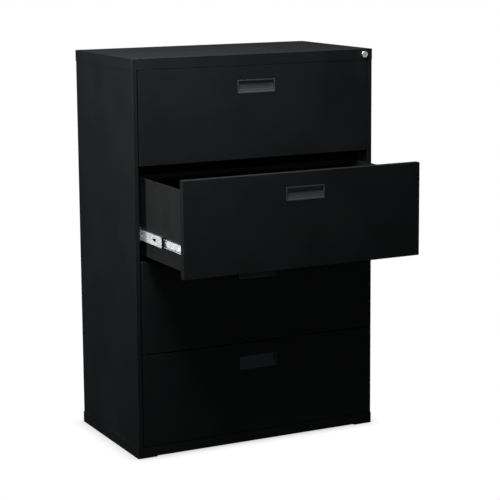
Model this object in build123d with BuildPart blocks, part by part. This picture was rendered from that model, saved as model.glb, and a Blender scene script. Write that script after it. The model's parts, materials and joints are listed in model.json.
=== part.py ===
from build123d import *
from math import cos, radians, sin
import os

# Four-drawer lateral filing cabinet in folded sheet steel, with ball-bearing slides and a gang lock.
# Units are millimetres. +Z is up, +X is to the right of someone facing the drawers, and the
# drawers pull out towards -Y. The origin is on the floor, under the middle of the casing.
# Every drawer is built once, closed, with z = 0 at the bottom of its own opening.

os.makedirs("parts", exist_ok=True)

# ---------------------------------------------------------------- driving dimensions
cabinet_width = 914.4
cabinet_depth = 508.0
cabinet_height = 1352.5
cap_height = 38.0
base_height = 38.0
drawer_count = 4

casing_gauge = 1.2
base_gauge = 1.5
tray_gauge = 1.0
bend = 2.0

base_proud = 2.4
cap_width = 912.0
post_width = 16.3
post_return = 24.0
rear_flange = 16.0

front_gap = 1.5
front_side_gap = 2.5
front_thickness = 22.0

tray_half_width = 418.0
tray_bottom = 18.0
tray_top_drop = 38.0
tray_rear = 208.0

slide_height_in_opening = 90.0
slide_front = -229.0
slide_length = 445.0
slide_stack = 12.7
drawer_travel = 450.0
mid_share = 0.55

# how far each drawer stands open, from the top one down
drawer_open = [0.0, 343.0, 0.0, 0.0]

lock_x = 422.0
lock_above_lip_middle = 0.5
lock_turn = 90.0
cam_radius = 9.0

# ---------------------------------------------------------------- derived places
front_y = -cabinet_depth / 2
rear_y = cabinet_depth / 2
side_outer = cabinet_width / 2 - base_proud
side_inner = side_outer - casing_gauge
opening_half_width = side_outer - post_width
casing_top = cabinet_height - cap_height
drawer_pitch = (casing_top - base_height) / drawer_count
front_half_width = opening_half_width - front_side_gap
front_low = front_gap
front_high = drawer_pitch - front_gap
front_back_y = front_y + front_thickness
tray_top = drawer_pitch - tray_top_drop
upright_x = tray_half_width + slide_stack
lock_z = cabinet_height - cap_height / 2 + lock_above_lip_middle


def front_plane(y):
    """Upright plane facing the front at depth y: its x is +X and its y is +Z."""
    return Plane.XZ.offset(-y)


def folded_strip(points, gauge, radius, side=Side.LEFT):
    """Cross-section of one folded sheet: a bent line given a thickness on one side."""
    with BuildSketch() as strip:
        with BuildLine():
            FilletPolyline(*points, radius=radius)
            offset(amount=gauge, side=side)
        make_face()
    return strip.sketch


def save(piece, name):
    """Label one finished piece and write it as its own file."""
    piece.label = name
    export_step(piece, f"parts/{name}.step")


# ================================================================ casing
# Side panel: wall, front post folded back into the opening, a rear flange, and a tongue of the wall
# that goes up inside the cap's skirt.
tongue_setback = 15.0
tongue_length = cabinet_depth - 2 * tongue_setback
tongue_below_cap = 8.0
tongue_height = cap_height - tongue_below_cap
with BuildPart() as side_panel_right:
    with BuildSketch(Plane.XY.offset(base_height)):
        add(
            folded_strip(
                [
                    (opening_half_width, front_y + post_return),
                    (opening_half_width, front_y),
                    (side_outer, front_y),
                    (side_outer, rear_y - casing_gauge),
                    (side_outer - rear_flange, rear_y - casing_gauge),
                ],
                casing_gauge,
                bend,
            )
        )
    extrude(amount=casing_top - base_height)
    with BuildSketch(Plane.XY.offset(casing_top)):
        with Locations((side_outer - casing_gauge / 2, 0)):
            Rectangle(casing_gauge, tongue_length)
    extrude(amount=tongue_height)

with BuildPart() as side_panel_left:
    mirror(side_panel_right.part, about=Plane.YZ)

save(side_panel_right.part, "side_panel_right")
save(side_panel_left.part, "side_panel_left")

# Cap: a shallow pan turned over the top, with a box lip along the front that holds the lock.
lip_depth = 20.0
lip_upturn = 8.0
lip_play = 0.4
lip_width = 2 * (side_inner - lip_play)
edge_round = 1.6
lock_hole_radius = 9.6
with BuildPart() as top_cap:
    with BuildSketch(Plane.XY.offset(casing_top)):
        RectangleRounded(cap_width, cabinet_depth, bend)
    extrude(amount=cap_height)
    fillet(top_cap.faces().sort_by(Axis.Z)[-1].edges(), edge_round)
    offset(amount=-casing_gauge, openings=top_cap.faces().sort_by(Axis.Z)[0])
    with BuildSketch(Plane.XY.offset(casing_top)):
        with Locations((0, front_y + casing_gauge)):
            Rectangle(lip_width, lip_depth - casing_gauge, align=(Align.CENTER, Align.MIN))
    extrude(amount=casing_gauge)
    with BuildSketch(Plane.XY.offset(casing_top)):
        with Locations((0, front_y + lip_depth)):
            Rectangle(lip_width, casing_gauge, align=(Align.CENTER, Align.MAX))
    extrude(amount=lip_upturn)
    with BuildSketch(front_plane(front_y)):
        with Locations((lock_x, lock_z)):
            Circle(lock_hole_radius)
    extrude(amount=-2 * casing_gauge, mode=Mode.SUBTRACT)
save(top_cap.part, "top_cap")

# Back panel, laid over the side panels' rear flanges, with three pressed stiffening beads.
back_inset = 2.8
back_half_width = side_outer - back_inset
bead_count = 3
bead_end_margin = 60.0
bead_width = 18.0
bead_depth = 3.0
bead_length = casing_top - base_height - 2 * bead_end_margin
bead_spacing = 230.0
back_middle_z = (casing_top + base_height) / 2
with BuildPart() as back_panel:
    with BuildSketch(front_plane(rear_y)):
        with Locations((0, back_middle_z)):
            Rectangle(2 * back_half_width, casing_top - base_height)
    extrude(amount=casing_gauge)
    with BuildSketch(front_plane(rear_y - casing_gauge)):
        with Locations((0, back_middle_z)):
            with GridLocations(bead_spacing, 1, bead_count, 1):
                SlotOverall(bead_length, bead_width, rotation=90)
    extrude(amount=bead_depth)
    with BuildSketch(front_plane(rear_y)):
        with Locations((0, back_middle_z)):
            with GridLocations(bead_spacing, 1, bead_count, 1):
                SlotOverall(bead_length - 2 * casing_gauge, bead_width - 2 * casing_gauge, rotation=90)
    extrude(amount=bead_depth, mode=Mode.SUBTRACT)
save(back_panel.part, "back_panel")

# Base: an open frame that stands on its lower flange and on a pad under each front corner.
base_flange = 25.0
pad_width = 70.0
pad_height = 3.0
relief_width = cabinet_width - 2 * pad_width
with BuildPart() as base_frame:
    with BuildSketch():
        RectangleRounded(cabinet_width, cabinet_depth, bend)
        Rectangle(cabinet_width - 2 * base_gauge, cabinet_depth - 2 * base_gauge, mode=Mode.SUBTRACT)
    extrude(amount=base_height)
    with BuildSketch(Plane.XY, Plane.XY.offset(base_height - base_gauge)):
        RectangleRounded(cabinet_width, cabinet_depth, bend)
        Rectangle(cabinet_width - 2 * base_flange, cabinet_depth - 2 * base_flange, mode=Mode.SUBTRACT)
    extrude(amount=base_gauge)
    with BuildSketch():
        with Locations((0, front_y)):
            Rectangle(relief_width, 2 * (base_flange + base_gauge))
    extrude(amount=pad_height, mode=Mode.SUBTRACT)
    with BuildSketch(Plane.XY.offset(pad_height)):
        with Locations((0, front_y)):
            Rectangle(relief_width, base_flange, align=(Align.CENTER, Align.MIN))
    extrude(amount=base_gauge)
save(base_frame.part, "base_frame")

# Levelling feet stand in the base's four corners and screw through the bottom pan.
foot_behind_flange = 22.0
foot_inset = base_flange + foot_behind_flange
foot_x = cabinet_width / 2 - foot_inset
foot_y = cabinet_depth / 2 - foot_inset
foot_radius = 16.0
stem_radius = 4.0
stem_clearance = 0.08
foot_lift = 1.0
foot_pad_height = 6.0
foot_pad_top = foot_lift + foot_pad_height
foot_sole_round = 1.5
foot_shoulder = 2.0
foot_nut_radius = 7.5
foot_nut_height = 5.0
stem_above_base = 14.0
stem_top = base_height + stem_above_base
screwdriver_slot_width = 1.2
screwdriver_slot_depth = 1.5

# Bottom pan: the casing's floor, standing on the base's upper flange.
pan_behind_drawer = 4.0
pan_front = front_back_y + pan_behind_drawer
pan_before_rear = 3.0
pan_rear = rear_y - pan_before_rear
pan_play = 0.2
pan_width = 2 * (side_inner - pan_play)
with BuildPart() as bottom_pan:
    with BuildSketch(Plane.XY.offset(base_height)):
        with Locations((0, pan_front)):
            Rectangle(pan_width, pan_rear - pan_front, align=(Align.CENTER, Align.MIN))
        with GridLocations(2 * foot_x, 2 * foot_y, 2, 2):
            Circle(stem_radius + stem_clearance, mode=Mode.SUBTRACT)
    extrude(amount=casing_gauge)
save(bottom_pan.part, "bottom_pan")

foot_corners = {
    "front_left": (-foot_x, -foot_y),
    "front_right": (foot_x, -foot_y),
    "rear_left": (-foot_x, foot_y),
    "rear_right": (foot_x, foot_y),
}
for corner, (foot_at_x, foot_at_y) in foot_corners.items():
    with BuildPart() as levelling_foot:
        with BuildSketch(Plane.XY.offset(foot_lift)):
            with Locations((foot_at_x, foot_at_y)):
                Circle(foot_radius)
        extrude(amount=foot_pad_height)
        fillet(levelling_foot.faces().sort_by(Axis.Z)[0].edges(), foot_sole_round)
        chamfer(levelling_foot.faces().sort_by(Axis.Z)[-1].edges(), foot_shoulder)
        with BuildSketch(Plane.XY.offset(foot_pad_top)):
            with Locations((foot_at_x, foot_at_y)):
                RegularPolygon(foot_nut_radius, 6)
        extrude(amount=foot_nut_height)
        with BuildSketch(Plane.XY.offset(foot_pad_top)):
            with Locations((foot_at_x, foot_at_y)):
                Circle(stem_radius)
        extrude(amount=stem_top - foot_pad_top)
        with BuildSketch(Plane.XY.offset(stem_top)):
            with Locations((foot_at_x, foot_at_y)):
                Rectangle(2 * stem_radius, screwdriver_slot_width)
        extrude(amount=-screwdriver_slot_depth, mode=Mode.SUBTRACT)
    save(levelling_foot.part, f"levelling_foot_{corner}")

# Uprights: a front pair and a rear pair of channels that carry the slides.
upright_width = 40.0
upright_bottom = base_height + casing_gauge
upright_below_cap = 2.0
upright_top = casing_top - upright_below_cap
upright_places = {"front_uprights": -212.0, "rear_uprights": 172.0}
for upright_name, upright_y in upright_places.items():
    with BuildPart() as uprights:
        with BuildSketch(Plane.XY.offset(upright_bottom)):
            add(
                folded_strip(
                    [
                        (side_inner, upright_y),
                        (upright_x, upright_y),
                        (upright_x, upright_y + upright_width),
                        (side_inner, upright_y + upright_width),
                    ],
                    casing_gauge,
                    bend,
                    Side.RIGHT,
                )
            )
        extrude(amount=upright_top - upright_bottom)
        mirror(about=Plane.YZ)
    save(uprights.part, upright_name)

# Counterweight: a steel slab stood up behind the bottom drawer, so that open drawers don't tip it.
counterweight_width = 780.0
counterweight_height = 240.0
counterweight_thickness = 14.0
counterweight_before_rear = 10.0
counterweight_rear = rear_y - counterweight_before_rear
counterweight_edge = 4.0
with BuildPart() as counterweight:
    with BuildSketch(front_plane(counterweight_rear)):
        with Locations((0, upright_bottom)):
            Rectangle(counterweight_width, counterweight_height, align=(Align.CENTER, Align.MIN))
    extrude(amount=counterweight_thickness)
    chamfer(counterweight.edges().filter_by(Axis.Y), counterweight_edge)
save(counterweight.part, "counterweight")

# ================================================================ lock
lock_proud = 8.0
lock_face_y = front_y - lock_proud
lock_rosette_radius = 12.0
lock_rosette_edge = 1.2
lock_barrel_radius = 9.4
lock_barrel_length = 18.0
lock_barrel_back = front_y + lock_barrel_length
plug_radius = 6.95
plug_clearance = 0.05
plug_past_barrel = 4.0
plug_back = lock_barrel_back + plug_past_barrel
cam_plate = 2.0

with BuildPart() as lock_housing:
    with BuildSketch(front_plane(lock_face_y)):
        with Locations((lock_x, lock_z)):
            Circle(lock_rosette_radius)
    extrude(amount=lock_face_y - front_y)
    chamfer(lock_housing.faces().sort_by(Axis.Y)[0].edges(), lock_rosette_edge)
    with BuildSketch(front_plane(front_y)):
        with Locations((lock_x, lock_z)):
            Circle(lock_barrel_radius)
    extrude(amount=front_y - lock_barrel_back)
    with BuildSketch(front_plane(lock_face_y)):
        with Locations((lock_x, lock_z)):
            Circle(plug_radius + plug_clearance)
    extrude(amount=lock_face_y - lock_barrel_back, mode=Mode.SUBTRACT)
save(lock_housing.part, "lock_housing")

nut_radius = 13.0
nut_thickness = 4.0
with BuildPart() as lock_nut:
    with BuildSketch(front_plane(front_y + casing_gauge)):
        with Locations((lock_x, lock_z)):
            RegularPolygon(nut_radius, 6)
            Circle(lock_barrel_radius, mode=Mode.SUBTRACT)
    extrude(amount=-nut_thickness)
save(lock_nut.part, "lock_nut")

plug_recess = 0.8
plug_face_y = lock_face_y + plug_recess
stud_width = 7.0
keyway_height = 9.0
keyway_width = 2.2
keyway_depth = 12.0
with BuildPart() as lock_plug:
    with BuildSketch(front_plane(plug_face_y)):
        with Locations((lock_x, lock_z)):
            Circle(plug_radius)
    extrude(amount=plug_face_y - plug_back)
    with BuildSketch(front_plane(plug_back)):
        with Locations((lock_x, lock_z)):
            Rectangle(stud_width, stud_width)
    extrude(amount=-cam_plate)
    with BuildSketch(front_plane(plug_face_y)):
        with Locations((lock_x, lock_z)):
            SlotOverall(keyway_height, keyway_width, rotation=90)
    extrude(amount=-keyway_depth, mode=Mode.SUBTRACT)
save(lock_plug.part, "lock_plug")

# The cam's pin starts 45 degrees below level and ends 45 degrees above it.
cam_start = radians(-lock_turn / 2)
pin_x = lock_x + cam_radius * cos(cam_start)
pin_z = lock_z + cam_radius * sin(cam_start)
pin_radius = 2.5
pin_length = 9.0
cam_hub_radius = 7.0
cam_end_radius = 4.0
with BuildPart() as lock_cam:
    with BuildSketch(front_plane(plug_back)):
        with Locations((lock_x, lock_z)):
            Circle(cam_hub_radius)
        with Locations((pin_x, pin_z)):
            Circle(cam_end_radius)
        with Locations((lock_x, lock_z)):
            Rectangle(stud_width, stud_width, mode=Mode.SUBTRACT)
    extrude(amount=-cam_plate)
    with BuildSketch(front_plane(plug_back + cam_plate)):
        with Locations((pin_x, pin_z)):
            Circle(pin_radius)
    extrude(amount=-pin_length)
save(lock_cam.part, "lock_cam")

# Lock bar: a flat strip behind the right post. A slotted head riveted to its top hangs on the cam's pin.
bar_behind_cam = 4.0
bar_y = plug_back + cam_plate + bar_behind_cam
bar_gauge = 2.0
bar_past_upright = 2.3
bar_low_x = upright_x + bar_past_upright
bar_width = 14.0
bar_above_base = 30.0
bar_bottom = base_height + bar_above_base
slot_play = 0.6
slot_half_height = pin_radius + slot_play
bar_below_slot = 0.5
bar_top = pin_z - slot_half_height - bar_below_slot
with BuildPart() as lock_bar:
    with BuildSketch(front_plane(bar_y)):
        with Locations((bar_low_x, bar_bottom)):
            Rectangle(bar_width, bar_top - bar_bottom, align=Align.MIN)
    extrude(amount=-bar_gauge)
save(lock_bar.part, "lock_bar")

# Plates riveted to the back of the bar: the slotted head, and a tab for each drawer. Raised by the
# key, a tab stands in front of its drawer's catch.
tab_reach = 8.6
tab_lap = 8.0
tab_height = 12.0
tab_high_in_opening = 212.0
head_border = 4.0
head_height = 17.0
head_below_pin = 9.6
head_low = pin_z - head_below_pin
slot_left = pin_x - slot_half_height
slot_right = lock_x + cam_radius + slot_half_height
head_left = slot_left - head_border
head_right = bar_low_x + bar_width
opening_bottoms = [base_height + drawer_pitch * (drawer_count - 1 - row) for row in range(drawer_count)]
with BuildPart() as lock_tabs:
    with BuildSketch(front_plane(bar_y + bar_gauge)):
        for opening_bottom in opening_bottoms:
            with Locations((bar_low_x - tab_reach, opening_bottom + tab_high_in_opening - tab_height)):
                Rectangle(tab_reach + tab_lap, tab_height, align=Align.MIN)
        with Locations((head_left, head_low)):
            Rectangle(head_right - head_left, head_height, align=Align.MIN)
        with Locations(((slot_left + slot_right) / 2, pin_z)):
            SlotOverall(slot_right - slot_left, 2 * slot_half_height, mode=Mode.SUBTRACT)
    extrude(amount=-bar_gauge)
save(lock_tabs.part, "lock_tabs")

# Guides: black nylon blocks on the side wall that the bar runs through.
guide_height = 16.0
guide_play = 0.5
guide_wall = 1.8
guide_below_top = 40.0
guide_thickness = 3.0
guide_front = bar_y - guide_thickness
guide_depth = bar_gauge + 2 * guide_thickness
guide_width = side_inner - bar_low_x + guide_wall
with BuildPart() as lock_bar_guides:
    for opening_bottom in opening_bottoms:
        with BuildSketch(Plane.XY.offset(opening_bottom + drawer_pitch - guide_below_top)):
            with Locations((bar_low_x - guide_wall, guide_front)):
                Rectangle(guide_width, guide_depth, align=Align.MIN)
            with Locations((bar_low_x - guide_play, bar_y - guide_play)):
                Rectangle(
                    bar_width + 2 * guide_play,
                    bar_gauge + 2 * guide_play,
                    align=Align.MIN,
                    mode=Mode.SUBTRACT,
                )
        extrude(amount=guide_height)
save(lock_bar_guides.part, "lock_bar_guides")

# ================================================================ one drawer, closed
pull_width = 142.0
pull_height = 46.0
pull_below_edge = 47.0
pull_z = front_high - pull_below_edge - pull_height / 2
pull_body_width = 138.0
pull_body_height = 42.0
cut_out_play = 0.3
front_middle_z = (front_low + front_high) / 2
front_width = 2 * front_half_width
front_height = front_high - front_low

# Outer front: a pan, folded back all round, with the pull's cut-out.
with BuildPart() as drawer_front:
    with BuildSketch(front_plane(front_y)):
        with Locations((0, front_middle_z)):
            RectangleRounded(front_width, front_height, bend)
    extrude(amount=-front_thickness)
    fillet(drawer_front.faces().sort_by(Axis.Y)[0].edges(), edge_round)
    offset(amount=-casing_gauge, openings=drawer_front.faces().sort_by(Axis.Y)[-1])
    with BuildSketch(front_plane(front_y)):
        with Locations((0, pull_z)):
            Rectangle(pull_body_width + 2 * cut_out_play, pull_body_height + 2 * cut_out_play)
    extrude(amount=-front_thickness, mode=Mode.SUBTRACT)

# Liner: the sheet that closes the front from behind and carries the tray.
liner_play = 0.1
liner_inset = casing_gauge + liner_play
liner_corner = 0.9
with BuildPart() as front_liner:
    with BuildSketch(front_plane(front_back_y - tray_gauge)):
        with Locations((0, front_middle_z)):
            RectangleRounded(front_width - 2 * liner_inset, front_height - 2 * liner_inset, liner_corner)
    extrude(amount=-tray_gauge)

# Pull: a moulded cup. Its back slopes inwards from the lower edge to a finger pocket at the top, and
# three round ribs run across the slope.
bezel_proud = 1.0
bezel_corner = 4.0
bezel_edge = 0.6
cup_depth = 18.0
pocket_depth = 16.0
mouth_width = 135.0
mouth_half_height = 19.5
pocket_floor = 8.0
slope_wall = 2.0
rib_count = 3
rib_radius = 1.2
rib_spacing = 0.26
with BuildPart() as drawer_pull:
    with BuildSketch(Plane.YZ):
        with BuildLine():
            Polyline(
                (front_y, pull_z - pull_body_height / 2),
                (front_y + slope_wall, pull_z - pull_body_height / 2),
                (front_y + cup_depth, pull_z + pocket_floor - 2 * slope_wall),
                (front_y + cup_depth, pull_z + pull_body_height / 2),
                (front_y, pull_z + pull_body_height / 2),
                close=True,
            )
        make_face()
    extrude(amount=pull_body_width / 2, both=True)
    with BuildSketch(front_plane(front_y - bezel_proud)):
        with Locations((0, pull_z)):
            RectangleRounded(pull_width, pull_height, bezel_corner)
    extrude(amount=-bezel_proud)
    fillet(drawer_pull.faces().sort_by(Axis.Y)[0].edges(), bezel_edge)
    with BuildSketch(Plane.YZ):
        with BuildLine():
            Polyline(
                (front_y - 2 * bezel_proud, pull_z - mouth_half_height),
                (front_y, pull_z - mouth_half_height),
                (front_y + pocket_depth, pull_z + pocket_floor),
                (front_y + pocket_depth, pull_z + mouth_half_height),
                (front_y - 2 * bezel_proud, pull_z + mouth_half_height),
                close=True,
            )
        make_face()
    extrude(amount=mouth_width / 2, both=True, mode=Mode.SUBTRACT)
    for rib in range(rib_count):
        along = rib_spacing * (rib + 1)
        rib_y = front_y + along * pocket_depth
        rib_z = pull_z - mouth_half_height + along * (mouth_half_height + pocket_floor)
        with Locations((0, rib_y, rib_z)):
            Cylinder(rib_radius, mouth_width + slope_wall / 2, rotation=(0, 90, 0))

# Tray: floor, sides and back folded and welded into one box that is open at the front and top.
hem_height = 10.0
tray_back_height = 190.0
emboss_proud = 0.5
emboss_slope = 45.0
emboss_width = 12.0
emboss_length = 110.0
emboss_below_top = 30.0
emboss_middle = tray_top - emboss_below_top - emboss_length / 2
emboss_places = [-110.0, 0.0, 110.0]
key_slot_behind_front = 40.0
key_slot_below_top = 30.0
key_slot_length = 25.0
slot_width = 4.0
divider_slot_length = 22.0
divider_slot_count = 19
divider_slot_spacing = 38.0
divider_row_spacing = 300.0
catch_reach = 12.0
catch_gap = 1.8
catch_y = bar_y + 2 * bar_gauge + catch_gap
catch_above_tab = 2.0
catch_low = tab_high_in_opening + catch_above_tab
catch_height = 16.0
with BuildPart() as drawer_tray:
    with BuildSketch(front_plane(front_back_y)):
        add(
            folded_strip(
                [
                    (-tray_half_width, tray_top),
                    (-tray_half_width, tray_bottom),
                    (tray_half_width, tray_bottom),
                    (tray_half_width, tray_top),
                ],
                tray_gauge,
                bend,
            )
        )
        for side in (-1, 1):
            with Locations((side * (tray_half_width + tray_gauge / 2), tray_top - hem_height / 2)):
                Rectangle(tray_gauge, hem_height)
    extrude(amount=front_back_y - tray_rear)
    with BuildSketch(front_plane(tray_rear)):
        with Locations((0, tray_bottom + tray_gauge)):
            Rectangle(2 * (tray_half_width - tray_gauge), tray_back_height, align=(Align.CENTER, Align.MIN))
    extrude(amount=tray_gauge)
    # stiffening bosses pressed out of both sides, above the slides
    for side in (-1, 1):
        with BuildSketch(Plane.YZ.offset(side * tray_half_width)):
            with Locations(*[(place, emboss_middle) for place in emboss_places]):
                SlotOverall(emboss_length, emboss_width, rotation=90)
        extrude(amount=side * emboss_proud, taper=emboss_slope)
    # upright slots near the front of both sides, for the hanging rails' hooks
    with BuildSketch(Plane.YZ):
        with Locations((front_y + key_slot_behind_front, tray_top - key_slot_below_top)):
            SlotOverall(key_slot_length, slot_width, rotation=90)
    extrude(amount=tray_half_width + slot_width, both=True, mode=Mode.SUBTRACT)
    # rows of slots in the floor, for follow blocks and dividers
    with BuildSketch(Plane.XY.offset(tray_bottom)):
        with GridLocations(divider_slot_spacing, divider_row_spacing, divider_slot_count, 2):
            SlotOverall(divider_slot_length, slot_width, rotation=90)
    extrude(amount=tray_gauge, mode=Mode.SUBTRACT)

# Catch: a steel tongue welded to the tray's right side, which the lock's tab stands in front of.
with BuildPart() as lock_catch:
    with BuildSketch(front_plane(catch_y)):
        with Locations((tray_half_width, catch_low)):
            Rectangle(catch_reach, catch_height, align=Align.MIN)
    extrude(amount=-bar_gauge)
tray_with_catch = Compound(children=[drawer_tray.part, lock_catch.part])

# Hanging rails: two steel strips across the drawer that hanging folders hook over.
rail_height = 18.0
rail_hook = 8.0
rail_gauge = 1.0
rail_bend = 1.6
rail_below_top = 2.0
rail_top = tray_top - rail_below_top
rail_places = [-212.0, 176.0]
with BuildPart() as hanging_rails:
    for rail_y in rail_places:
        with BuildSketch(Plane.YZ):
            with BuildLine():
                FilletPolyline(
                    (rail_y, rail_top - rail_height),
                    (rail_y, rail_top),
                    (rail_y + rail_hook, rail_top),
                    (rail_y + rail_hook, rail_top - rail_hook),
                    radius=rail_bend,
                )
                offset(amount=rail_gauge, side=Side.RIGHT)
            make_face()
        extrude(amount=tray_half_width - tray_gauge, both=True)


# ---------------------------------------------------------------- slides
slide_gauge = 1.2
slide_bend = 1.8
outer_web = slide_stack
outer_tip = 2.7
outer_half_height = 22.85
mid_web = 9.8
mid_tip = 3.0
mid_half_height = 18.5
mid_setback = 10.0
mid_length = 420.0
groove_height = 10.5
groove_width = 2.5
groove_depth = 0.4
inner_web = 0.0
inner_tip = 7.4
inner_half_height = 14.15


def channel(web, tip, half_height, gauge, radius):
    """Right-hand slide section: a C whose web and tips lie at these distances from the tray's side."""
    side = Side.LEFT if web > tip else Side.RIGHT
    return folded_strip(
        [
            (tray_half_width + tip, slide_height_in_opening - half_height),
            (tray_half_width + web, slide_height_in_opening - half_height),
            (tray_half_width + web, slide_height_in_opening + half_height),
            (tray_half_width + tip, slide_height_in_opening + half_height),
        ],
        gauge,
        radius,
        side,
    )


def slide_member(web, tip, half_height, front, length, holes, grooved=False):
    """A left and right pair of channels with holes in the web, which may have two grooves rolled along it."""
    into_web = slide_gauge if web < tip else -slide_gauge
    with BuildPart() as member:
        with BuildSketch(front_plane(front)):
            add(channel(web, tip, half_height, slide_gauge, slide_bend))
        extrude(amount=-length)
        with BuildSketch(Plane.YZ.offset(tray_half_width + web)):
            for hole_place, hole_length, hole_height in holes:
                with Locations((front + hole_place, slide_height_in_opening)):
                    SlotOverall(hole_length, hole_height)
        extrude(amount=into_web, mode=Mode.SUBTRACT)
        if grooved:
            with BuildSketch(Plane.YZ.offset(tray_half_width + web)):
                for up in (-1, 1):
                    with Locations((front + length / 2, slide_height_in_opening + up * groove_height)):
                        Rectangle(length, groove_width)
            extrude(amount=-groove_depth, mode=Mode.SUBTRACT)
        mirror(about=Plane.YZ)
    return member.part


# slots in each web, as (how far behind the member's front, length, height)
outer_holes = [(37, 9, 5), (120, 9, 5), (300, 9, 5), (404, 9, 5)]
mid_holes = [(60, 26, 10), (162, 9, 9), (370, 16, 9)]
inner_holes = [(26, 8, 5), (150, 8, 5), (224, 40, 11), (300, 8, 5), (420, 8, 5)]
mid_front = slide_front + mid_setback
slide_outer = slide_member(outer_web, outer_tip, outer_half_height, slide_front, slide_length, outer_holes)
slide_mid = slide_member(mid_web, mid_tip, mid_half_height, mid_front, mid_length, mid_holes, grooved=True)
slide_inner = slide_member(inner_web, inner_tip, inner_half_height, slide_front, slide_length, inner_holes)

# Ball retainers: thin C strips with the balls in holes along both legs.
ball_radius = 1.4
ball_play = 0.3
cage_gauge = 0.6
cage_bend = 1.0
cage_length = 110.0
cage_front = -76.0
balls_per_row = 6


def ball_cage(web, tip, half_height, ball_across):
    """A left and right pair of retainers, each with an upper and a lower row of loose balls."""
    ball_pitch = cage_length / balls_per_row
    ball_places = [cage_front + ball_pitch * (ball + 0.5) for ball in range(balls_per_row)]
    row_heights = [slide_height_in_opening + up * (half_height - cage_gauge / 2) for up in (-1, 1)]
    with BuildPart() as cage:
        with BuildSketch(front_plane(cage_front)):
            add(channel(web, tip, half_height, cage_gauge, cage_bend))
        extrude(amount=-cage_length)
        for ball_y in ball_places:
            for row_z in row_heights:
                with Locations((tray_half_width + ball_across, ball_y, row_z)):
                    Cylinder(ball_radius + ball_play, 4 * cage_gauge, mode=Mode.SUBTRACT)
        for ball_y in ball_places:
            for row_z in row_heights:
                with Locations((tray_half_width + ball_across, ball_y, row_z)):
                    Sphere(ball_radius)
        mirror(about=Plane.YZ)
    return cage.part


outer_cage_half = (outer_half_height - slide_gauge + mid_half_height) / 2 + cage_gauge / 2
inner_cage_half = (mid_half_height - slide_gauge + inner_half_height) / 2 + cage_gauge / 2
outer_cage_web = 10.95
outer_cage_tip = 4.0
outer_balls_across = 6.2
inner_cage_web = 8.3
inner_cage_tip = 2.6
inner_balls_across = 5.0
outer_cage = ball_cage(outer_cage_web, outer_cage_tip, outer_cage_half, outer_balls_across)
inner_cage = ball_cage(inner_cage_web, inner_cage_tip, inner_cage_half, inner_balls_across)

# ---------------------------------------------------------------- the drawers in their openings
# Each piece travels its own share of the drawer's travel; a retainer goes half as far as what rolls on it.
drawer_pieces = {
    "front": (drawer_front.part, 1.0),
    "front_liner": (front_liner.part, 1.0),
    "pull": (drawer_pull.part, 1.0),
    "tray": (tray_with_catch, 1.0),
    "hanging_rails": (hanging_rails.part, 1.0),
    "slide_inner": (slide_inner, 1.0),
    "slide_mid": (slide_mid, mid_share),
    "slide_outer": (slide_outer, 0.0),
    "outer_cage": (outer_cage, mid_share / 2),
    "inner_cage": (inner_cage, (1 + mid_share) / 2),
}
for row, opening_bottom in enumerate(opening_bottoms):
    for piece_name, (piece, share) in drawer_pieces.items():
        placed = piece.moved(Location((0, -share * drawer_open[row], opening_bottom)))
        save(placed, f"drawer_{row + 1}_{piece_name}")

bar_lift = 2 * cam_radius * sin(radians(lock_turn / 2))
bar_rate = bar_lift / radians(lock_turn)
print(f"drawer travel {drawer_travel:.0f} mm, bar lift {bar_lift:.3f} mm at {bar_rate:.4f} mm per radian")
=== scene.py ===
import bpy
import json
import numpy as np
from math import cos, pi, radians, sin
from mathutils import Matrix, Vector


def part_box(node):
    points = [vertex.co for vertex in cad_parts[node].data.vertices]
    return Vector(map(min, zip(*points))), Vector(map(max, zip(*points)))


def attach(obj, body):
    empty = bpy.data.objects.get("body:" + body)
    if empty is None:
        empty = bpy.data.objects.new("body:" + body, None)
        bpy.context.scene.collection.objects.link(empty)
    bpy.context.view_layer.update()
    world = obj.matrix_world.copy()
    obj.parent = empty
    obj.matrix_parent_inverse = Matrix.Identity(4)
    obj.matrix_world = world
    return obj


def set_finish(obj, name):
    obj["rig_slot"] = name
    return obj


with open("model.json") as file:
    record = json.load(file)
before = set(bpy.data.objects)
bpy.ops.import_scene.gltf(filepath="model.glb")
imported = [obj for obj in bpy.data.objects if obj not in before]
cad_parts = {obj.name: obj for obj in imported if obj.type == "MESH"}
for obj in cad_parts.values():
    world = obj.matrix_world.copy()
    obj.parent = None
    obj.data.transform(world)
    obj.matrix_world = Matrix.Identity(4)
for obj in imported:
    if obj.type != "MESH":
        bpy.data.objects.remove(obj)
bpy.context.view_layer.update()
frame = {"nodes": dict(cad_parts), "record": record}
record = frame["record"]
slotOf = {row["node"]: row["material_slot"] for row in record["subparts"]}
drawerNumbers = [1, 2, 3, 4]


def hexColour(code):
    # an sRGB hex code turned to the linear colour that a shader socket takes
    parts = np.array([int(code[i : i + 2], 16) / 255 for i in (1, 3, 5)])
    linear = np.where(parts <= 0.04045, parts / 12.92, ((parts + 0.055) / 1.055) ** 2.4)
    return (*[float(value) for value in linear], 1.0)


def addNode(tree, kind, inputs=None, feeds=None, stops=()):
    # one node: an input takes a value, a socket or another node's first output, and the new node's own first
    # output may feed a socket; stops are a colour ramp's two (place, sRGB code) pairs
    made = tree.nodes.new(kind)
    for name, value in (inputs or {}).items():
        source = value.outputs[0] if isinstance(value, bpy.types.Node) else value
        if isinstance(source, bpy.types.NodeSocket):
            tree.links.new(source, made.inputs[name])
        else:
            made.inputs[name].default_value = source
    for index, (at, code) in enumerate(stops):
        made.color_ramp.elements[index].position = at
        made.color_ramp.elements[index].color = hexColour(code)
    if feeds is not None:
        tree.links.new(made.outputs[0], feeds)
    return made


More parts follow.
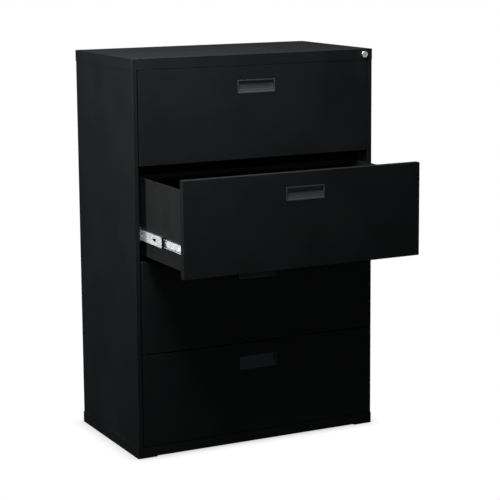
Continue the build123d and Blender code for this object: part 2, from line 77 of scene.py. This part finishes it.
def startMaterial(name, constants=None):
    # an empty material with its shader wired to the output, and Object coordinates ready
    material = bpy.data.materials.new(name)
    material.use_nodes = True
    tree = material.node_tree
    tree.nodes.clear()
    shader = addNode(tree, "ShaderNodeBsdfPrincipled", constants)
    addNode(tree, "ShaderNodeOutputMaterial", {"Surface": shader})
    place = addNode(tree, "ShaderNodeTexCoord").outputs["Object"]
    return material, tree, shader.inputs, place


# Black polyester powder coat, sprayed dry and oven-cured on cold-rolled steel: deep black with a faint
# pebbled texture that spreads each highlight into a soft grey sheen. The real pebble is about 0.4 mm and
# would vanish at this distance, so it is drawn at 5 mm.
powderCoatLook = {
    "shades": [(0.35, "#141718"), (0.65, "#191c1d")],
    "rough": (0.45, 0.55),
    "pebbleMm": 5.0,
    "pebbleDetail": 2.0,
    "cloudsPerMetre": 6.0,
    "cloudDetail": 3.0,
    "bump": 1.0,
    "bumpMm": 0.6,
    "ior": 1.5,
    "specular": 0.2,
}


def powderCoatedSteel(name, look):
    constants = {"IOR": look["ior"], "Specular IOR Level": look["specular"]}
    material, tree, surface, place = startMaterial(name, constants)
    pebbleScale = 1000 / look["pebbleMm"]
    pebbleInputs = {"Vector": place, "Scale": pebbleScale, "Detail": look["pebbleDetail"]}
    pebble = addNode(tree, "ShaderNodeTexNoise", pebbleInputs)
    cloudInputs = {"Vector": place, "Scale": look["cloudsPerMetre"], "Detail": look["cloudDetail"]}
    cloud = addNode(tree, "ShaderNodeTexNoise", cloudInputs)
    addNode(tree, "ShaderNodeValToRGB", {"Fac": cloud}, surface["Base Color"], look["shades"])
    low, high = look["rough"]
    spread = {"Value": pebble, "To Min": low, "To Max": high}
    addNode(tree, "ShaderNodeMapRange", spread, surface["Roughness"])
    bumpInputs = {"Height": pebble, "Strength": look["bump"], "Distance": look["bumpMm"] / 1000}
    addNode(tree, "ShaderNodeBump", bumpInputs, surface["Normal"])
    return material


# Satin black baking enamel on the trays: smoother than the powder coat, with the faint upright draw marks
# of the rolled sheet showing through.
satinEnamelLook = {
    "shades": [(0.3, "#1c1d1e"), (0.7, "#232425")],
    "rough": (0.34, 0.46),
    "drawMarkMm": 9.0,
    "drawMarkDetail": 4.0,
    "drawnOut": (1.0, 1.0, 0.06),
    "ior": 1.5,
}


def satinEnamel(name, look):
    material, tree, surface, place = startMaterial(name, {"IOR": look["ior"]})
    stretched = addNode(tree, "ShaderNodeMapping", {"Vector": place, "Scale": look["drawnOut"]})
    markInputs = {"Vector": stretched, "Scale": 1000 / look["drawMarkMm"], "Detail": look["drawMarkDetail"]}
    marks = addNode(tree, "ShaderNodeTexNoise", markInputs)
    addNode(tree, "ShaderNodeValToRGB", {"Fac": marks}, surface["Base Color"], look["shades"])
    low, high = look["rough"]
    spread = {"Value": marks, "To Min": low, "To Max": high}
    addNode(tree, "ShaderNodeMapRange", spread, surface["Roughness"])
    return material


# Bright zinc plate, electroplated on cold-formed steel strip: pale silver with a cloudy, slightly
# blue-white bloom and fine lines along the rolling direction.
zincPlateLook = {
    "shades": [(0.3, "#b9bcbe"), (0.65, "#dfe1e2")],
    "rough": (0.26, 0.44),
    "cloudMm": 14.0,
    "cloudDetail": 4.0,
    "lineMm": 0.9,
    "lineDetail": 2.0,
    "drawnOut": (1.0, 0.03, 1.0),
    "bump": 0.15,
    "bumpMm": 0.1,
}


def zincPlatedSteel(name, look):
    material, tree, surface, place = startMaterial(name, {"Metallic": 1.0})
    cloudInputs = {"Vector": place, "Scale": 1000 / look["cloudMm"], "Detail": look["cloudDetail"]}
    cloud = addNode(tree, "ShaderNodeTexNoise", cloudInputs)
    addNode(tree, "ShaderNodeValToRGB", {"Fac": cloud}, surface["Base Color"], look["shades"])
    stretched = addNode(tree, "ShaderNodeMapping", {"Vector": place, "Scale": look["drawnOut"]})
    lineInputs = {"Vector": stretched, "Scale": 1000 / look["lineMm"], "Detail": look["lineDetail"]}
    lines = addNode(tree, "ShaderNodeTexNoise", lineInputs)
    low, high = look["rough"]
    spread = {"Value": lines, "To Min": low, "To Max": high}
    addNode(tree, "ShaderNodeMapRange", spread, surface["Roughness"])
    bumpInputs = {"Height": lines, "Strength": look["bump"], "Distance": look["bumpMm"] / 1000}
    addNode(tree, "ShaderNodeBump", bumpInputs, surface["Normal"])
    return material


# Steel blackened in a hot oxide bath and oiled: blue-black, with the oil lying in soft cloudy patches.
blackOxideLook = {
    "shades": [(0.3, "#151618"), (0.7, "#24262a")],
    "rough": (0.28, 0.48),
    "oilPatchMm": 18.0,
    "oilPatchDetail": 4.0,
}


def blackOxideSteel(name, look):
    material, tree, surface, place = startMaterial(name, {"Metallic": 1.0})
    patchInputs = {"Vector": place, "Scale": 1000 / look["oilPatchMm"], "Detail": look["oilPatchDetail"]}
    patch = addNode(tree, "ShaderNodeTexNoise", patchInputs)
    addNode(tree, "ShaderNodeValToRGB", {"Fac": patch}, surface["Base Color"], look["shades"])
    low, high = look["rough"]
    spread = {"Value": patch, "To Min": low, "To Max": high}
    addNode(tree, "ShaderNodeMapRange", spread, surface["Roughness"])
    return material


# Moulded ABS in charcoal, with a spark-eroded grain from the mould that keeps it dull.
mouldedAbsLook = {
    "colour": "#383d40",
    "rough": (0.40, 0.52),
    "grainMm": 0.7,
    "grainDetail": 2.0,
    "bump": 0.2,
    "bumpMm": 0.1,
    "ior": 1.53,
}


def mouldedAbs(name, look):
    constants = {"Base Color": hexColour(look["colour"]), "IOR": look["ior"]}
    material, tree, surface, place = startMaterial(name, constants)
    grainInputs = {"Vector": place, "Scale": 1000 / look["grainMm"], "Detail": look["grainDetail"]}
    grain = addNode(tree, "ShaderNodeTexNoise", grainInputs)
    low, high = look["rough"]
    spread = {"Value": grain, "To Min": low, "To Max": high}
    addNode(tree, "ShaderNodeMapRange", spread, surface["Roughness"])
    bumpInputs = {"Height": grain, "Strength": look["bump"], "Distance": look["bumpMm"] / 1000}
    addNode(tree, "ShaderNodeBump", bumpInputs, surface["Normal"])
    return material


# Nickel plate over a turned brass lock: bright and faintly warm, its shine broken by a fine mottle drawn
# out along the lock's axis.
nickelPlateLook = {
    "colour": "#d9d6cf",
    "rough": (0.11, 0.24),
    "mottleMm": 0.5,
    "mottleDetail": 1.0,
    "drawnOut": (1.0, 0.2, 1.0),
}


def nickelPlatedBrass(name, look):
    constants = {"Base Color": hexColour(look["colour"]), "Metallic": 1.0}
    material, tree, surface, place = startMaterial(name, constants)
    stretched = addNode(tree, "ShaderNodeMapping", {"Vector": place, "Scale": look["drawnOut"]})
    mottleInputs = {"Vector": stretched, "Scale": 1000 / look["mottleMm"], "Detail": look["mottleDetail"]}
    mottle = addNode(tree, "ShaderNodeTexNoise", mottleInputs)
    low, high = look["rough"]
    spread = {"Value": mottle, "To Min": low, "To Max": high}
    addNode(tree, "ShaderNodeMapRange", spread, surface["Roughness"])
    return material


# Hot-rolled steel plate with its mill scale left on: blue-black, blotched with rust-brown.
millScaleLook = {
    "shades": [(0.45, "#2b2d30"), (0.7, "#3d3029")],
    "rough": 0.6,
    "metallic": 0.6,
    "blotchMm": 35.0,
    "blotchDetail": 6.0,
}


def hotRolledPlate(name, look):
    constants = {"Metallic": look["metallic"], "Roughness": look["rough"]}
    material, tree, surface, place = startMaterial(name, constants)
    blotchInputs = {"Vector": place, "Scale": 1000 / look["blotchMm"], "Detail": look["blotchDetail"]}
    blotch = addNode(tree, "ShaderNodeTexNoise", blotchInputs)
    addNode(tree, "ShaderNodeValToRGB", {"Fac": blotch}, surface["Base Color"], look["shades"])
    return material


# Nylon filled with carbon black, injection moulded: black, slightly waxy, with a faint flow mottle.
blackNylonLook = {
    "colour": "#0e0e0f",
    "rough": (0.37, 0.47),
    "mottleMm": 4.0,
    "mottleDetail": 2.0,
    "bump": 0.1,
    "bumpMm": 0.2,
    "ior": 1.53,
    "specular": 0.3,
}


def blackNylon(name, look):
    colour = hexColour(look["colour"])
    constants = {"Base Color": colour, "IOR": look["ior"], "Specular IOR Level": look["specular"]}
    material, tree, surface, place = startMaterial(name, constants)
    mottleInputs = {"Vector": place, "Scale": 1000 / look["mottleMm"], "Detail": look["mottleDetail"]}
    mottle = addNode(tree, "ShaderNodeTexNoise", mottleInputs)
    low, high = look["rough"]
    spread = {"Value": mottle, "To Min": low, "To Max": high}
    addNode(tree, "ShaderNodeMapRange", spread, surface["Roughness"])
    bumpInputs = {"Height": mottle, "Strength": look["bump"], "Distance": look["bumpMm"] / 1000}
    addNode(tree, "ShaderNodeBump", bumpInputs, surface["Normal"])
    return material


# Through-hardened bearing steel, ground and lapped: a clean mirror, faintly smeared with grease.
bearingSteelLook = {"colour": "#c9cbcd", "rough": (0.10, 0.22), "smearMm": 3.0, "smearDetail": 2.0}


def bearingSteel(name, look):
    constants = {"Base Color": hexColour(look["colour"]), "Metallic": 1.0}
    material, tree, surface, place = startMaterial(name, constants)
    smearInputs = {"Vector": place, "Scale": 1000 / look["smearMm"], "Detail": look["smearDetail"]}
    smear = addNode(tree, "ShaderNodeTexNoise", smearInputs)
    low, high = look["rough"]
    spread = {"Value": smear, "To Min": low, "To Max": high}
    addNode(tree, "ShaderNodeMapRange", spread, surface["Roughness"])
    return material


zincPlate = zincPlatedSteel("zincPlatedSteel", zincPlateLook)
finishOf = {
    "casing_paint": powderCoatedSteel("powderCoatedSteelBlack", powderCoatLook),
    "inner_paint": satinEnamel("satinEnamelBlack", satinEnamelLook),
    "black_oxide": blackOxideSteel("blackOxideSteel", blackOxideLook),
    "counterweight": hotRolledPlate("hotRolledPlate", millScaleLook),
    "foot_steel": zincPlate,
    "zinc": zincPlate,
    "ball_steel": bearingSteel("lappedBearingSteel", bearingSteelLook),
    "lock_chrome": nickelPlatedBrass("nickelPlatedBrass", nickelPlateLook),
    "nylon": blackNylon("blackNylon", blackNylonLook),
    "pull_plastic": mouldedAbs("mouldedAbsCharcoal", mouldedAbsLook),
}
for nodeName, piece in frame["nodes"].items():
    piece.data.materials.clear()
    piece.data.materials.append(finishOf[slotOf[nodeName]])
print("materials assigned:", len(finishOf), "finishes")

newPieces = []


def meshPiece(name, points, faces, body, slotName):
    # one piece from a point array and a face list, riding on a body
    mesh = bpy.data.meshes.new(name)
    mesh.from_pydata(points.tolist(), [], faces)
    mesh.materials.append(finishOf[slotName])
    piece = bpy.data.objects.new(name, mesh)
    bpy.context.scene.collection.objects.link(piece)
    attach(piece, body)
    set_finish(piece, slotName)
    newPieces.append(piece)


def gridFaces(rows, columns):
    # quads over a grid whose columns close into a ring
    row = np.arange(rows - 1)[:, None] * columns
    here = np.arange(columns)
    after = (here + 1) % columns
    corners = [row + here, row + after, row + columns + after, row + columns + here]
    return np.stack(corners, -1).reshape(-1, 4)


def joinSides(blocks):
    # (side, points, faces) blocks made one, with the faces turned over on the mirrored left side
    points, faces, start = [], [], 0
    for side, blockPoints, blockFaces in blocks:
        points.append(blockPoints)
        faces += [[corner + start for corner in (face if side > 0 else face[::-1])] for face in blockFaces]
        start += len(blockPoints)
    return np.concatenate(points), faces


# Slide stop: the black nylon C pushed over the front end of each middle slide member, all in millimetres.
# A reach is measured out from the tray's side.
slideStopLook = {
    "outerReach": 10.2,
    "innerReach": 7.9,
    "outerHalfHeight": 18.9,
    "innerHalfHeight": 14.9,
    "tipReach": 2.7,
    "corner": 2.6,
    "ahead": 11.0,
    "lap": -0.3,
    "edge": 0.5,
    "cornerSteps": 5,
    "midReach": 9.8,
}


def cLine(reach, halfHeight, tip, corner, steps):
    # tip, quarter circle, upright run, quarter circle, tip: (reach, height) of each point along a C
    turn = np.linspace(0.0, pi / 2, steps)
    across = reach - corner + corner * np.sin(turn)
    lower = np.stack([across, -halfHeight + corner - corner * np.cos(turn)], -1)
    upper = (lower * (1, -1))[::-1]
    return np.concatenate([[(tip, -halfHeight)], lower, upper, [(tip, halfHeight)]])


def slideStop(look, side, trayX, middleZ, frontY):
    # a ruled body: each point mixes the outer and inner C lines by a, at depth b, where (a, b) runs round a
    # rectangle with cut corners; a flat face closes each tip of the C
    tip, steps = look["tipReach"], look["cornerSteps"]
    wall = look["outerReach"] - look["innerReach"]
    outer = cLine(look["outerReach"], look["outerHalfHeight"], tip, look["corner"], steps)
    inner = cLine(look["innerReach"], look["innerHalfHeight"], tip, look["corner"] - wall / 2, steps)
    cut = look["edge"] / wall
    low, high, edge = -look["ahead"], look["lap"], look["edge"]
    mix = np.array([cut, 1 - cut, 1.0, 1.0, 1 - cut, cut, 0.0, 0.0])
    depth = np.array([low, low, low + edge, high - edge, high, high, high - edge, low + edge])
    section = outer[:, None] * (1 - mix[None, :, None]) + inner[:, None] * mix[None, :, None]
    x = side * (trayX + section[..., 0] / 1000)
    y = frontY + np.broadcast_to(depth, x.shape) / 1000
    z = middleZ + section[..., 1] / 1000
    points = np.stack([x, y, z], -1).reshape(-1, 3)
    rows, columns = section.shape[:2]
    faces = gridFaces(rows, columns)[:, ::-1].tolist()
    faces += [list(range(columns)), list(range((rows - 1) * columns, rows * columns))[::-1]]
    return points, faces


# Pan-head screws through the inner member into the tray: how far behind its front, and the head's own sizes,
# all in millimetres.
screwLook = {
    "behindFront": (26.0, 150.0, 300.0, 420.0),
    "headRadius": 4.4,
    "headHeight": 1.5,
    "domePower": 0.4,
    "crossReach": 2.4,
    "crossHalfWidth": 0.45,
    "crossDepth": 1.0,
    "web": 1.2,
    "rings": 10,
    "spokes": 32,
}


def screwHead(look):
    # height = head height x (1 - (r / R)^2) ^ dome power, less a cross-shaped recess, and a flat disc closes
    # the head below
    radius = np.linspace(0.0, 1.0, look["rings"] + 1)[1:] * look["headRadius"]
    angle = np.arange(look["spokes"]) * 2 * pi / look["spokes"]
    r, a = np.meshgrid(radius, angle, indexing="ij")
    share = np.minimum(r / look["headRadius"], 1.0)
    across = np.minimum(np.abs(r * np.cos(a)), np.abs(r * np.sin(a)))
    inCross = (across < look["crossHalfWidth"]) & (r < look["crossReach"])
    height = look["headHeight"] * (1 - share**2) ** look["domePower"] - look["crossDepth"] * inCross
    dome = np.stack([r * np.cos(a), r * np.sin(a), height], -1).reshape(-1, 3)
    poles = np.array([[0.0, 0.0, look["headHeight"] - look["crossDepth"]], [0.0, 0.0, 0.0]])
    first = np.arange(look["spokes"])
    after = (first + 1) % look["spokes"]
    rim = (look["rings"] - 1) * look["spokes"]
    top, under = len(dome), len(dome) + 1
    faces = gridFaces(look["rings"], look["spokes"])[:, ::-1].tolist()
    faces += np.stack([np.full_like(first, top), first, after], -1).tolist()
    faces += np.stack([np.full_like(first, under), rim + after, rim + first], -1).tolist()
    return np.concatenate([dome, poles]), faces


def seatScrew(head, side, trayX, middleZ, y):
    # a head's points turned to face outwards and set on the inner member, whose web lies on the tray
    x = side * (trayX + (screwLook["web"] + head[:, 2]) / 1000)
    return np.stack([x, y + head[:, 0] / 1000, middleZ + head[:, 1] / 1000], -1)


headPoints, headFaces = screwHead(screwLook)
for number in drawerNumbers:
    midLow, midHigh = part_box(f"drawer_{number}_slide_mid")
    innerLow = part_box(f"drawer_{number}_slide_inner")[0]
    trayX = midHigh[0] - slideStopLook["midReach"] / 1000
    middleZ = (midLow[2] + midHigh[2]) / 2
    stops = [(side, *slideStop(slideStopLook, side, trayX, middleZ, midLow[1])) for side in (-1, 1)]
    meshPiece(f"drawer_{number}_slide_stops", *joinSides(stops), f"drawer_{number}_mid_slides", "nylon")
    screws = [
        (side, seatScrew(headPoints, side, trayX, middleZ, innerLow[1] + behind / 1000), headFaces)
        for side in (-1, 1)
        for behind in screwLook["behindFront"]
    ]
    meshPiece(f"drawer_{number}_slide_screws", *joinSides(screws), f"drawer_{number}", "zinc")
print("slide stops and screws made")

floorLook = {
    "halfSize": 80.0,
    "lines": 9,
    "shades": [(0.4, "#d9d9d8"), (1.0, "#ffffff")],
    "shadowReach": 0.05,
}


def makeFloor(look):
    # a flat sheet at z = 0 on an even grid, glowing evenly white by itself, with a painted contact shadow
    # greying it where something stands close
    steps = np.linspace(-look["halfSize"], look["halfSize"], look["lines"])
    gridX, gridY = np.meshgrid(steps, steps)
    points = np.stack([gridX, gridY, np.zeros_like(gridX)], -1).reshape(-1, 3)
    across = len(steps)
    first = (np.arange(across - 1)[:, None] * across + np.arange(across - 1)).ravel()
    faces = np.stack([first, first + 1, first + across + 1, first + across], -1)
    mesh = bpy.data.meshes.new("studioFloor")
    mesh.from_pydata(points.tolist(), [], faces.tolist())
    floor = bpy.data.objects.new("studioFloor", mesh)
    bpy.context.scene.collection.objects.link(floor)
    constants = {"Base Color": (0.0, 0.0, 0.0, 1.0), "Specular IOR Level": 0.0, "Emission Strength": 1.0}
    material, tree, surface, place = startMaterial("evenlyLitWhiteSweep", constants)
    # painted contact shadow: ambient occlusion within shadowReach darkens the floor's glow towards grey
    nearness = addNode(tree, "ShaderNodeAmbientOcclusion", {"Distance": look["shadowReach"]}).outputs["AO"]
    addNode(tree, "ShaderNodeValToRGB", {"Fac": nearness}, surface["Emission Color"], look["shades"])
    mesh.materials.append(material)
    floor.visible_glossy = False
    floor.visible_diffuse = False


def aimAt(thing, target):
    thing.rotation_mode = "QUATERNION"
    thing.rotation_quaternion = (Vector(target) - thing.location).to_track_quat("-Z", "Y")


lampRig = {
    "overhead": {"place": (-0.3, -0.2, 3.4), "target": (0.0, 0.0, 1.0), "size": 2.0, "watts": 92.0},
    "keyNear": {"place": (-0.8, -1.3, 2.1), "target": (-0.2, -0.25, 1.1), "size": 0.6, "watts": 17.0},
    "keyHigh": {"place": (-0.6, -0.9, 2.4), "target": (-0.2, -0.25, 1.1), "size": 0.6, "watts": 6.0},
    "sideLeft": {"place": (-2.6, 0.3, 1.6), "target": (-0.45, 0.0, 0.9), "size": 1.2, "watts": 44.0},
    "frontLow": {"place": (-0.9, -4.0, 1.2), "target": (0.0, -0.25, 0.6), "size": 1.6, "watts": 14.0},
    "sideRight": {"place": (3.4, 0.4, 0.5), "target": (0.45, 0.0, 0.6), "size": 1.3, "watts": 70.0},
    "rear": {"place": (0.6, 3.6, 0.5), "target": (0.0, 0.25, 0.6), "size": 1.3, "watts": 80.0},
}

# large soft fills that only the plated metal receives, and that only plated metal shades
metalFillRig = {
    "slideFill": {"place": (-3.2, 1.8, 0.4), "target": (-0.43, -0.45, 0.8), "size": 2.4, "watts": 58.0},
    "lockFill": {"place": (3.4, -5.2, 1.0), "target": (0.42, -0.26, 1.33), "size": 2.6, "watts": 8.0},
}
platedSlots = ["zinc", "lock_chrome", "foot_steel", "ball_steel"]


def makeLamps(rig, receivers=None):
    for name, look in rig.items():
        lamp = bpy.data.lights.new(name, "AREA")
        lamp.shape = "DISK"
        lamp.size = look["size"]
        lamp.energy = look["watts"]
        holder = bpy.data.objects.new(name, lamp)
        bpy.context.scene.collection.objects.link(holder)
        holder.location = look["place"]
        aimAt(holder, look["target"])
        if receivers:
            holder.light_linking.receiver_collection = receivers
            holder.light_linking.blocker_collection = receivers


def gatherPlatedMetal():
    # a collection outside the scene that names what the metal fills may light
    gathered = bpy.data.collections.new("platedMetal")
    for piece in [*frame["nodes"].values(), *newPieces]:
        if slotOf.get(piece.name, piece.get("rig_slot")) in platedSlots:
            gathered.objects.link(piece)
    return gathered


skyLook = {"colour": "#ffffff", "shown": 1.0, "lit": 0.02}


def makeSky(look):
    # white where it is seen, and only a weak even fill where it lights
    world = bpy.data.worlds.new("paleStudio")
    world.use_nodes = True
    bpy.context.scene.world = world
    tree = world.node_tree
    background = tree.nodes["Background"].inputs
    background["Color"].default_value = hexColour(look["colour"])
    seen = addNode(tree, "ShaderNodeLightPath").outputs["Is Camera Ray"]
    strengths = {"Value": seen, "To Min": look["lit"], "To Max": look["shown"]}
    addNode(tree, "ShaderNodeMapRange", strengths, background["Strength"])


cameraLook = {
    "place": (-2.559, -5.241, 1.751),
    "yaw": 26.91,
    "pitch": 9.11,
    "roll": -0.42,
    "lens": 119.45,
    "sensor": 36.0,
    "shiftY": -0.1,
    "clipEnd": 300.0,
}


def makeCamera(look):
    # axes from yaw to the right of +Y, pitch downwards, then roll about the line of sight
    yaw, pitch, roll = (radians(look[name]) for name in ("yaw", "pitch", "roll"))
    forward = Vector((sin(yaw) * cos(pitch), cos(yaw) * cos(pitch), -sin(pitch)))
    level = Vector((cos(yaw), -sin(yaw), 0.0))
    upright = level.cross(forward)
    right = cos(roll) * level + sin(roll) * upright
    up = cos(roll) * upright - sin(roll) * level
    data = bpy.data.cameras.new("mainCamera")
    data.lens = look["lens"]
    data.sensor_width = look["sensor"]
    data.shift_y = look["shiftY"]
    data.clip_end = look["clipEnd"]
    camera = bpy.data.objects.new("mainCamera", data)
    bpy.context.scene.collection.objects.link(camera)
    axes = Matrix((right, up, -forward)).transposed().to_4x4()
    camera.matrix_world = Matrix.Translation(look["place"]) @ axes
    bpy.context.scene.camera = camera


makeFloor(floorLook)
makeLamps(lampRig)
makeLamps(metalFillRig, gatherPlatedMetal())
makeSky(skyLook)
makeCamera(cameraLook)
bpy.context.scene.view_settings.view_transform = "Standard"
print("stage ready")
